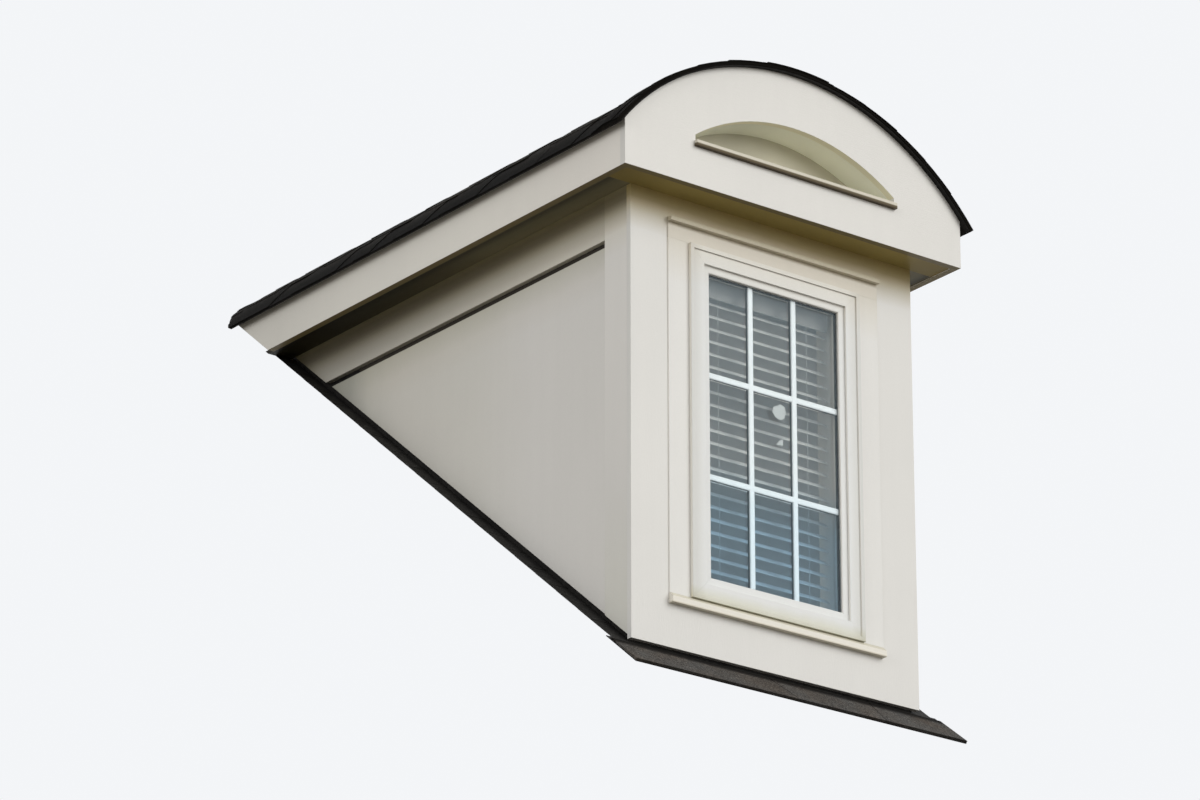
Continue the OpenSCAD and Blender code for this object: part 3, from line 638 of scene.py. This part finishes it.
# Shares of the exposure up from a butt, before the covered head, with the painted shade there on each layer
COURSE_SHARES = (0, 0.06, 0.35, 0.7, 0.9, 1.0)
HEAD_SHARE = 1.1
TOP_HEAD_SHARE = 1.25
BASE_SHADES = (0.55, 0.0, 0.0, 0.15, 0.5, 0.8, 0.8)
TAB_SHADES = (0.35, 0.0, 0.0, 0.0, 0.25, 0.6, 0.6)
# Dark stain and painted shade along the eaves, up each of the lowest courses
EAVE_STAINS_AND_SHADE = ((1.0, 1.0, 0.97, 0.75, 0.6, 0.55, 0.55), (0.55, 0.5, 0.35, 0.2, 0.1, 0.0, 0.0),
               (0.0,) * 7)
# The doubled strips: how many, the room between them, how high they lift the covering, how far back
# they keep their thickness, and where they end
STRIPS = 3
STRIP_ROOM = 0.0002
EDGE_RISE = 0.0088
EDGE_FLAT = COVER_Y0 + 0.075
EDGE_FOOT = COVER_Y0 + 0.135
# The cap shingles: half their width, their lap, the flats of their curve, and their corners over the
# deck: front bottom, front top, back top, back bottom
CAP_HALF = 0.115
CAP_LAP = 0.03
CAP_STEPS = 8
CAP_HEIGHTS = (0.0026, 0.0058, 0.0048, 0.0024)


def edge_lift(y):
    """Height of the covering above its usual lie, over the doubled strips along the front edge."""
    share = min(max((EDGE_FOOT - y) / (EDGE_FOOT - EDGE_FLAT), 0), 1)
    return EDGE_RISE * share


def on_barrel(radius, angle, y):
    return Vector((radius * math.sin(angle), y, ARC_Z + radius * math.cos(angle)))


def base_top(share):
    """Radius of a shingle's lower layer, at a share of the exposure up from its butt."""
    return COVER_R0 + BUTT_TOP + (HEAD_TOP - BUTT_TOP) * share


def shaded(shades, stain_and_shade):
    """The darker one of a layer's own painted shade and its course's stain and painted shade, at each
    share.
    """
    return [max(pair) for pair in zip(shades, stain_and_shade)]


def add_slab(shape, angles, spans, bottoms, tops, paints):
    """A curved slab on the barrel, from radii and Y spans at a row of angles, lifted over the strips."""
    loops = []
    breaks = [y for y in (EDGE_FLAT, EDGE_FOOT) if spans[0][0] + 0.02 < y < spans[0][1] - 0.02]
    for angle, (y0, y1), bottom, top in zip(angles, spans, bottoms, tops):
        places = [y0] + breaks + [y1]
        loops.append([on_barrel(bottom + edge_lift(y), angle, y) for y in places]
                     + [on_barrel(top + edge_lift(y), angle, y) for y in places[::-1]])
    add_loops(shape, loops, paints)


def front_strips(shape, dice, tone, shade):
    """Doubled shingle strips under the courses, along the roof's front edge."""
    rise = EDGE_RISE / STRIPS
    for layer in range(STRIPS):
        bottom = COVER_R0 + SEAT + layer * rise
        top = bottom + rise - STRIP_ROOM
        start = -EAVE_ANGLE
        while start < EAVE_ANGLE - 0.01:
            end = min(start + dice.uniform(0.5, 1.0) / COVER_R1, EAVE_ANGLE)
            if EAVE_ANGLE - end < 0.15:
                end = EAVE_ANGLE
            parts = max(2, math.ceil((end - start) / 0.05))
            y0 = COVER_Y0 + dice.uniform(0.0005, 0.003)
            corners = ((bottom, y0), (top, y0), (top, EDGE_FLAT), (bottom, EDGE_FOOT))
            loops = [[on_barrel(radius, start + (end - start) * k / parts, y) for radius, y in corners]
                     for k in range(parts + 1)]
            # The doubled strips are a little darker, as painted shade
            add_loops(shape, loops, {tone: [0.2] * len(loops), shade: [0.3] * len(loops)})
            start = end + 0.001


def lay_course(shape, dice, tone, shade, side, course):
    """One course on one side of the roof: laminated shingles side by side, the first one cut short."""
    shares = COURSE_SHARES + (TOP_HEAD_SHARE if course == COURSES - 1 else HEAD_SHARE,)
    angles = [side * (EAVE_ANGLE - (course + share) * COURSE_ANGLE) for share in shares]
    stain_and_shade = EAVE_STAINS_AND_SHADE[min(course, len(EAVE_STAINS_AND_SHADE) - 1)]
    y = COVER_Y0 - dice.uniform(0.1, 0.9) * SHINGLE_LENGTH
    while y < COVER_Y1:
        y0 = max(y, COVER_Y0 + dice.uniform(0, 0.0025))
        y1 = min(y + SHINGLE_LENGTH - JOINT, COVER_Y1)
        if y1 - y0 > 0.02:
            paints = {tone: [dice.uniform(0.05, 0.35)] * len(shares), shade: shaded(BASE_SHADES, stain_and_shade)}
            add_slab(shape, angles, [(y0, y1)] * len(shares), [COVER_R0 + SEAT] * len(shares),
                     [base_top(share) for share in shares], paints)
            add_tabs(shape, dice, tone, shade, angles, shares, y0, y1, stain_and_shade)
        y += SHINGLE_LENGTH


def add_tabs(shape, dice, tone, shade, angles, shares, y0, y1, stain_and_shade):
    """The upper layer of a laminated shingle: tabs of uneven width, a little narrower at the butt."""
    bottoms = [base_top(share) - TAB_SINK for share in shares]
    tops = [base_top(share) + TAB_T for share in shares]
    y = y0 + dice.uniform(0.0, 0.06)
    while y < y1 - 0.02:
        end = min(y + dice.choice(TAB_WIDTHS) * dice.uniform(0.9, 1.1), y1)
        taper = dice.uniform(0.002, 0.007)
        paints = {tone: [dice.uniform(0.35, 1.0)] * len(shares), shade: shaded(TAB_SHADES, stain_and_shade)}
        spans = [(y + taper * (1 - share) * (y > y0 + 0.005), end - taper * (1 - share) * (end < y1))
                 for share in shares]
        add_slab(shape, angles, spans, bottoms, tops, paints)
        y = end + dice.choice(TAB_GAPS) * dice.uniform(0.9, 1.1)


def add_caps(shape, dice, tone, shade):
    """Cap shingles bent over the top, each lapping the one in front of it."""
    half = CAP_HALF / COVER_R1
    angles = [half * (2 * k / CAP_STEPS - 1) for k in range(CAP_STEPS + 1)]
    y = COVER_Y0
    while y < COVER_Y1:
        paints = {tone: [dice.uniform(0.3, 1.0)] * len(angles), shade: [0.0] * len(angles)}
        y1 = min(y + EXPOSURE + CAP_LAP, COVER_Y1)
        turn = dice.uniform(-0.002, 0.002) / COVER_R1
        corners = [(COVER_R0 + height + edge_lift(place), place)
                   for height, place in zip(CAP_HEIGHTS, (y, y, y1, y1))]
        add_loops(shape, [[on_barrel(radius, angle + turn, place) for radius, place in corners]
                          for angle in angles], paints)
        y += EXPOSURE


def barrel_shingles(material):
    """Laminated shingles laid in courses from both eaves, with a cap along the top."""
    shape, tone, shade = shingled_shape()
    dice = random.Random(7)
    front_strips(shape, dice, tone, shade)
    for side in (-1, 1):
        for course in range(COURSES):
            lay_course(shape, dice, tone, shade, side, course)
    add_caps(shape, dice, tone, shade)
    cut_above_slope(shape)
    new_piece("barrel_shingles", shape, material, ["roof_shingles"], smooth_angle=25)


# Apron covering and step flashing

def on_slope(x, up, out):
    """A point on the main roof: up the slope from the origin, and out square to it."""
    return Vector((x, 0, 0)) + SLOPE_WAY * up + SLOPE_NORMAL * out


APRON_UP0 = low("apron_shingles").y / math.cos(PITCH)
APRON_UP1 = high("apron_shingles").y / math.cos(PITCH)
APRON_HALF = high("apron_shingles").x
APRON_BOTTOM = 0.002
APRON_TOP = 0.0098
APRON_TAPER = 0.003
APRON_JOINT = 0.0012
# Where the apron's shingle pieces meet, and their slant from the lower to the upper edge
APRON_CUTS = ((-APRON_HALF, 0.0), (-0.36, 0.018), (-0.02, -0.02), (0.30, 0.03), (APRON_HALF, 0.0))
# Shares of the way up a piece, and the painted shade there: a dark butt, and the wall's painted shadow
APRON_SHARES = (0.0, 0.04, 0.75, 0.86, 1.0)
APRON_SHADES = (0.6, 0.0, 0.1, 0.85, 1.0)


def apron_cover(material):
    """Shingle pieces over the apron flashing, cut to fit, some on a slant, with painted shade against the
    wall.
    """
    shape, tone, shade = shingled_shape()
    dice = random.Random(11)
    for (left, left_slant), (right, right_slant) in zip(APRON_CUTS, APRON_CUTS[1:]):
        top = APRON_TOP - dice.uniform(0.0, 0.0012)
        value = dice.uniform(0.55, 1.0)
        loops = []
        for share in APRON_SHARES:
            up = APRON_UP0 + (APRON_UP1 - APRON_UP0) * share
            x0 = left + left_slant * share + APRON_JOINT
            x1 = right + right_slant * share - APRON_JOINT
            upper = top - APRON_TAPER * share
            loops.append([on_slope(x0, up, APRON_BOTTOM), on_slope(x1, up, APRON_BOTTOM),
                          on_slope(x1, up, upper), on_slope(x0, up, upper)])
        add_loops(shape, loops, {tone: [value] * len(loops), shade: APRON_SHADES})
    new_piece("apron_cover", shape, material, ["apron_shingles"])


# A step's length up the slope, thickness and upstand, and the least length and upstand
STEP_LENGTH = 0.2
STEP_T = 0.0007
STEP_STAND = 0.1095
STEP_LEAST = 0.02
# Its height over the slope at its upper end and on the step below, its least distance from the cheek's
# core, and how far its upstand leans in at the upper end
STEP_SEAT = 0.0002
STEP_LAP = 0.0012
STEP_GAP = 0.0004
STEP_LEAN = 0.0008
# How far the short angle at the top runs on behind the frieze board, and its upstand's two heights
STEP_TIP = 0.0195
TIP_STAND = (0.018, 0.0018)
# The upstands are cut down towards this height, 1 mm under the side soffit's board
STAND_TOP = high("soffit_left").z - 0.013
BOARD_FRONT_Y = low("corner_board_left").y


def slope_up(out, up):
    """The least distance up the slope, at a height out from it, behind the corner boards' front edge."""
    return max(up, (BOARD_FRONT_Y + out * math.sin(PITCH)) / math.cos(PITCH))


def stand_height(up):
    """Height of the upstand out from the slope, where the soffit leaves room for it."""
    room = (STAND_TOP - on_slope(0, up, 0).z) / math.cos(PITCH)
    return min(STEP_STAND, max(STEP_LEAST, room))


def add_foot(shape, side, corners, heights):
    """A thin plate on the slope, from its corners as distances out and up, and their heights over it."""
    add_loops(shape, [[on_slope(side * x, up, out + more) for (x, up), out in zip(corners, heights)]
                      for more in (0, STEP_T)])


def add_stand(shape, side, inner, corners, leans):
    """A thin plate that stands beside the cheek, from its corners as (up, out), leaning in at some."""
    add_loops(shape, [[on_slope(side * (inner + more - lean), up, out)
                       for (up, out), lean in zip(corners, leans)] for more in (0, STEP_T)])


def top_angle(shape, side, inner, up):
    """The flashing's short top end, which closes the corner behind the end of the frieze board."""
    tip = up + STEP_TIP
    outer = high("frieze_board_right").x - 0.0005
    foot = [(outer, up), (outer, tip), (inner + STEP_GAP, tip), (inner + STEP_GAP, up)]
    add_foot(shape, side, foot, [STEP_SEAT] * 4)
    stand = [(up, STEP_LAP), (tip, STEP_LAP), (tip, TIP_STAND[1]), (up, TIP_STAND[0])]
    add_stand(shape, side, inner + STEP_GAP, stand, [0.0] * 4)


def step_flashing(name, node, side, material):
    """Bent metal pieces up the foot of a cheek, each lapping the one below."""
    shape = bmesh.new()
    box_low, box_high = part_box(node)
    inner = min(abs(box_low.x), abs(box_high.x))
    outer = max(abs(box_low.x), abs(box_high.x)) - 0.001
    up = box_low.y / math.cos(PITCH)
    top = box_high.y / math.cos(PITCH)
    while up < top - STEP_LEAST:
        end = min(up + STEP_LENGTH, top)
        foot = [(inner + STEP_GAP, up), (outer, up), (outer, end), (inner + STEP_GAP, end)]
        add_foot(shape, side, foot, [STEP_LAP, STEP_LAP, STEP_SEAT, STEP_SEAT])
        near, far = stand_height(up), stand_height(end)
        stand = [(slope_up(STEP_SEAT, up), STEP_SEAT), (end, STEP_SEAT), (end, far),
                 (slope_up(near, up), near)]
        add_stand(shape, side, inner + STEP_LAP, stand, [0.0, STEP_LEAN, STEP_LEAN, 0.0])
        up += EXPOSURE
    top_angle(shape, side, inner, top)
    new_piece(name, shape, material, [node])


# Window

# How far the sash covers the outer pane's edge, and the corners of what it leaves clear
GLASS_LOW, GLASS_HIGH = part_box("glass")
GLASS_BITE = 0.00775
PANE_LOW = GLASS_LOW + Vector((GLASS_BITE, 0, GLASS_BITE))
PANE_HIGH = GLASS_HIGH - Vector((GLASS_BITE, 0, GLASS_BITE))
# Middles of the bars between nine panes
BAR_X = [side * (PANE_HIGH.x - PANE_LOW.x) / 6 for side in (-1, 1)]
BAR_Z = [PANE_LOW.z + (PANE_HIGH.z - PANE_LOW.z) / 3, PANE_HIGH.z - (PANE_HIGH.z - PANE_LOW.z) / 3]
MUNTIN_W = 0.0175
MUNTIN_T = 0.0048
MUNTIN_BEVEL = 0.002
# The cavity between the panes, its spacers behind the bars and at the edge, the inner pane, and the
# bars on the room's side
CAVITY_Y0 = GLASS_HIGH.y + 0.0003
CAVITY_Y1 = CAVITY_Y0 + 0.0105
SPACER_W = 0.012
EDGE_W = 0.0015
INNER_T = 0.003
INNER_CUT = 0.0008
GRILLE_W = 0.010
GRILLE_T = 0.004
# Steps of this size keep the faces that show out of one plane where bars cross
CROSSING = 0.0001


def bar_profile(front, back):
    """A muntin's cross-section as (across, y) points, bevelled at the front."""
    half = MUNTIN_W / 2
    flat = half - MUNTIN_BEVEL
    shoulder = front + MUNTIN_BEVEL * 0.6
    return [(-half, back), (half, back), (half, shoulder), (flat, front), (-flat, front), (-half, shoulder)]


def muntin_bars():
    """White bars of nine panes, behind the outer pane."""
    shape = bmesh.new()
    back = CAVITY_Y0 + MUNTIN_T
    upright = bar_profile(CAVITY_Y0, back)
    level = bar_profile(CAVITY_Y0 + 2 * CROSSING, back - CROSSING)
    for x in BAR_X:
        add_loops(shape, [[(x + across, y, z) for across, y in upright] for z in (PANE_LOW.z, PANE_HIGH.z)])
    for z in BAR_Z:
        add_loops(shape, [[(x, y, z + across) for across, y in level] for x in (PANE_LOW.x, PANE_HIGH.x)])
    material = painted("muntin_paint", MUNTIN_WHITE, "z", rough=0.34)
    new_piece("muntin_bars", shape, material)


def add_grid(shape, width, upright_span, level_span):
    """Plain bars of nine panes, upright and level, from their Y spans."""
    half = width / 2
    for x in BAR_X:
        add_box(shape, (x - half, upright_span[0], PANE_LOW.z), (x + half, upright_span[1], PANE_HIGH.z))
    for z in BAR_Z:
        add_box(shape, (PANE_LOW.x, level_span[0], z - half), (PANE_HIGH.x, level_span[1], z + half))


def pane_spacers():
    """Dark spacers in the cavity, behind the white bars and round the edge, and bars on the room's side."""
    shape = bmesh.new()
    x0, x1, z0, z1 = PANE_LOW.x, PANE_HIGH.x, PANE_LOW.z, PANE_HIGH.z
    front = CAVITY_Y0 + MUNTIN_T
    add_grid(shape, SPACER_W, (front, CAVITY_Y1), (front, CAVITY_Y1 - CROSSING))
    room = CAVITY_Y1 + INNER_T + 0.0006
    add_grid(shape, GRILLE_W, (room, room + GRILLE_T), (room + CROSSING, room + GRILLE_T - CROSSING))
    for left, foot, right, head in ((x0, z0, x0 + EDGE_W, z1), (x1 - EDGE_W, z0, x1, z1),
                                    (x0 + EDGE_W, z0, x1 - EDGE_W, z0 + EDGE_W),
                                    (x0 + EDGE_W, z1 - EDGE_W, x1 - EDGE_W, z1)):
        add_box(shape, (left, CAVITY_Y0, foot), (right, CAVITY_Y1, head))
    new_piece("pane_spacers", shape, spacer_finish("pane_spacer"))


def inner_pane():
    """The inner sheet of the double pane, with its corners cut."""
    shape = bmesh.new()
    x0, x1, z0, z1 = PANE_LOW.x, PANE_HIGH.x, PANE_LOW.z, PANE_HIGH.z
    c = INNER_CUT
    y = CAVITY_Y1 + 0.0002
    outline = [(x0, z0 + c), (x0 + c, z0), (x1 - c, z0), (x1, z0 + c), (x1, z1 - c), (x1 - c, z1),
               (x0 + c, z1), (x0, z1 - c)]
    add_loops(shape, [[(x, depth, z) for x, z in outline] for depth in (y, y + INNER_T)])
    new_piece("inner_pane", shape, window_glass("inner_glass", *INNER_TINTS, 0.02))


# Outlines of the two torn labels, and where they stick
LABELS = (((0.0, 0.020), (0.010, 0.006), (0.028, 0.0), (0.044, 0.008), (0.050, 0.026), (0.047, 0.044),
           (0.030, 0.050), (0.018, 0.042), (0.004, 0.036)),
          ((0.0, 0.0), (0.030, 0.003), (0.029, 0.021), (0.018, 0.016), (0.010, 0.007)))
LABEL_PLACES = ((-0.003, 0.7445), (0.0055, 0.6655))
LABEL_T = 0.0003


def pane_labels():
    """Two torn white paper labels left on the middle pane, behind the outer glass."""
    shape = bmesh.new()
    y = GLASS_HIGH.y + 0.0002
    for outline, (x, z) in zip(LABELS, LABEL_PLACES):
        add_loops(shape, [[(x + a, depth, z + b) for a, b in outline] for depth in (y, y + LABEL_T)])
    # The white paper is painted grey, as painted shade
    paper = painted("label_paper", LABEL_GREY, "x", soft_edges=False)
    new_piece("pane_labels", shape, paper)


# Blind

# A slat: its step, width, thickness, tilt and crown, and the flat parts that make up its curve
SLAT_STEP = 0.039
SLAT_W = 0.050
SLAT_T = 0.0026
SLAT_TILT = math.radians(35)
SLAT_CROWN = 0.0022
SLAT_PARTS = 6
# Share of its thickness that a slat keeps at its edges
SLAT_EDGE = 0.45
# The first slat below the valance, the last one over the bottom rail, and the least room above that one
FIRST_DROP = 0.0085
REST_GAP = 0.0006
REST_ROOM = 0.006
VALANCE_T = 0.006
HEADRAIL_H = 0.042
RAIL_W = 0.046
RAIL_H = 0.016
CORD_X = 0.165
CORD_HALF = 0.0005
# The cloth shade: its thickness, its hem bar's thickness and ends over the blind's foot, its own foot
# over it, and the room at each side
CLOTH_T = 0.0008
HEM_T = 0.0012
HEM_SPAN = (0.001, 0.0118)
CLOTH_FOOT = 0.012
CLOTH_SIDE = 0.003


def slat_outline(middle, height):
    """A crowned slat's cross-section as (y, z) points, tilted about its middle."""
    faces = {1: [], -1: []}
    for k in range(SLAT_PARTS + 1):
        share = 2 * k / SLAT_PARTS - 1
        along = share * SLAT_W / 2
        rise = SLAT_CROWN * (0.5 - share * share)
        thick = SLAT_T / 2 * (SLAT_EDGE if abs(share) == 1 else 1)
        for face, points in faces.items():
            off = rise + face * thick
            points.append((middle + along * math.cos(SLAT_TILT) - off * math.sin(SLAT_TILT),
                           height + along * math.sin(SLAT_TILT) + off * math.cos(SLAT_TILT)))
    return faces[1] + faces[-1][::-1]


def slat_heights(top, foot):
    """Heights of the slats' middles: a step apart below the valance, and one on the bottom rail."""
    least = foot + RAIL_H + SLAT_W / 2 * math.sin(SLAT_TILT) - SLAT_CROWN / 2
    height = top - VALANCE_H - FIRST_DROP
    heights = []
    while height > least:
        heights.append(height)
        height -= SLAT_STEP
    if heights[-1] - (least + REST_GAP) > REST_ROOM:
        heights.append(least + REST_GAP)
    return heights


def venetian_blind(material):
    """Valance, headrail, crowned slats on ladder cords, and a bottom rail."""
    shape = bmesh.new()
    box_low, box_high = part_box("blind")
    half = box_high.x
    middle = (box_low.y + box_high.y) / 2
    foot = box_low.z
    head = box_high.z - 0.0003
    front = box_low.y + 0.0005
    add_box(shape, (-half, front, box_high.z - VALANCE_H), (half, front + VALANCE_T, head))
    add_box(shape, (-half + 0.004, front + VALANCE_T + 0.001, box_high.z - HEADRAIL_H),
            (half - 0.004, box_high.y - 0.002, head))
    for height in slat_heights(box_high.z, foot):
        outline = slat_outline(middle, height)
        add_loops(shape, [[(x, y, z) for y, z in outline] for x in (-half, half)])
    add_box(shape, (-half, middle - RAIL_W / 2, foot), (half, middle + RAIL_W / 2, foot + RAIL_H))
    reach = SLAT_W / 2 * math.cos(SLAT_TILT) + 0.0015
    for x in (-CORD_X, CORD_X):
        for y in (middle - reach, middle + reach):
            add_box(shape, (x - CORD_HALF, y - CORD_HALF, foot + RAIL_H),
                    (x + CORD_HALF, y + CORD_HALF, box_high.z - 0.05))
    new_piece("venetian_blind", shape, material, ["blind"], smooth_angle=35)


def room_shade():
    """A lowered cloth shade close behind the slats, with a hem bar, so that nothing of the room shows; its
    grey is painted shade of the room.
    """
    shape = bmesh.new()
    box_low, box_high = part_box("blind")
    half = box_high.x - CLOTH_SIDE
    back = box_high.y - 0.0004
    foot = box_low.z + CLOTH_FOOT
    head = box_high.z - 0.0006
    hem_foot, hem_head = (box_low.z + height for height in HEM_SPAN)
    add_box(shape, (-half, back - CLOTH_T, foot), (half, back, head))
    add_box(shape, (-half, back - HEM_T, hem_foot), (half, back, hem_head))
    shade = new_piece("room_shade", shape, lining_board("shade_cloth", CLOTH_GREY))


# World, lamps, floor and camera

BACKGROUND = (0.90, 0.915, 0.935)
ZENITH = (0.36, 0.36, 0.36)
HORIZON = (0.60, 0.60, 0.60)
GROUND = (0.20, 0.185, 0.16)
FLOOR_DARK = (0.19, 0.175, 0.15)
FLOOR_Z = -21.0
FLOOR_HALF = 150.0
CAMERA_PLACE = Vector((-9.596, -11.687, -5.158))
CAMERA_AIM = Vector((0.058, 0.829, 1.094))
CAMERA_LENS = 168.9


def world_light():
    """A pale background where it is seen. It lights as sky, brightest low down, and as dark roof below."""
    world = bpy.data.worlds.new("studio")
    bpy.context.scene.world = world
    g = Graph(world)
    height = g.fit(g.axis("Z", g.coordinates["Generated"]), -0.12, 0.9, 0.0, 1.0)
    sky = g.ramp(height, (0.0, GROUND), (0.2, HORIZON), (1.0, ZENITH))
    light = g.node("ShaderNodeBackground", {"Color": sky}).outputs["Background"]
    pale = g.node("ShaderNodeBackground", {"Color": BACKGROUND}).outputs["Background"]
    both = g.node("ShaderNodeMixShader", {"Fac": g.seen(), 1: light, 2: pale})
    g.link(both.outputs["Shader"], g.node("ShaderNodeOutputWorld").inputs["Surface"])


def sun(name, azimuth, elevation, strength, angle):
    """A wide soft lamp, from degrees off -Y towards +X and above the horizon.

    A white surface that faces it renders as strength."""
    a, e = math.radians(azimuth), math.radians(elevation)
    towards = Vector((math.sin(a) * math.cos(e), -math.cos(a) * math.cos(e), math.sin(e)))
    data = bpy.data.lights.new(name, "SUN")
    data.energy = strength * math.pi
    data.angle = math.radians(angle)
    lamp = bpy.data.objects.new(name, data)
    lamp.visible_glossy = False
    lamp.visible_transmission = False
    lamp.rotation_mode = "QUATERNION"
    lamp.rotation_quaternion = towards.to_track_quat("Z", "Y")
    bpy.context.scene.collection.objects.link(lamp)


def floor():
    """A plain floor far below, because the camera looks up. It shows pale and lights the object little."""
    shape = bmesh.new()
    corners = [(-1, -1), (1, -1), (1, 1), (-1, 1)]
    shape.faces.new([shape.verts.new((x * FLOOR_HALF, y * FLOOR_HALF, FLOOR_Z)) for x, y in corners])
    mesh = bpy.data.meshes.new("floor")
    shape.to_mesh(mesh)
    shape.free()
    plane = bpy.data.objects.new("floor", mesh)
    bpy.context.scene.collection.objects.link(plane)
    g = Finish("floor")
    pale = g.ramp(g.noise(0.3, 3), (0.3, (0.80, 0.81, 0.82)), (0.7, (0.82, 0.83, 0.84)))
    mesh.materials.append(g.finish(colour=g.mix(g.seen(), FLOOR_DARK, pale), rough=0.9))


def camera():
    data = bpy.data.cameras.new("camera")
    data.sensor_width = 36.0
    data.lens = CAMERA_LENS
    data.clip_start = 0.5
    data.clip_end = 400.0
    made = bpy.data.objects.new("camera", data)
    made.location = CAMERA_PLACE
    made.rotation_mode = "QUATERNION"
    made.rotation_quaternion = (CAMERA_AIM - CAMERA_PLACE).to_track_quat("-Z", "Y")
    bpy.context.scene.collection.objects.link(made)
    bpy.context.scene.camera = made


camera()
world_light()
sun("front_lamp", 32, 26, strength=0.75, angle=50)
sun("left_lamp", -80, 14, strength=0.29, angle=40)
sun("back_lamp", 165, 45, strength=0.30, angle=50)
floor()
bpy.context.scene.view_settings.view_transform = "Standard"

finishes = dress_nodes()
barrel_shingles(finishes["roof_shingles"])
apron_cover(finishes["apron_shingles"])
step_flashing("step_pieces_left", "step_flashing_left", -1, finishes["step_flashing_left"])
step_flashing("step_pieces_right", "step_flashing_right", 1, finishes["step_flashing_right"])
muntin_bars()
pane_spacers()
inner_pane()
pane_labels()
venetian_blind(finishes["blind"])
room_shade()
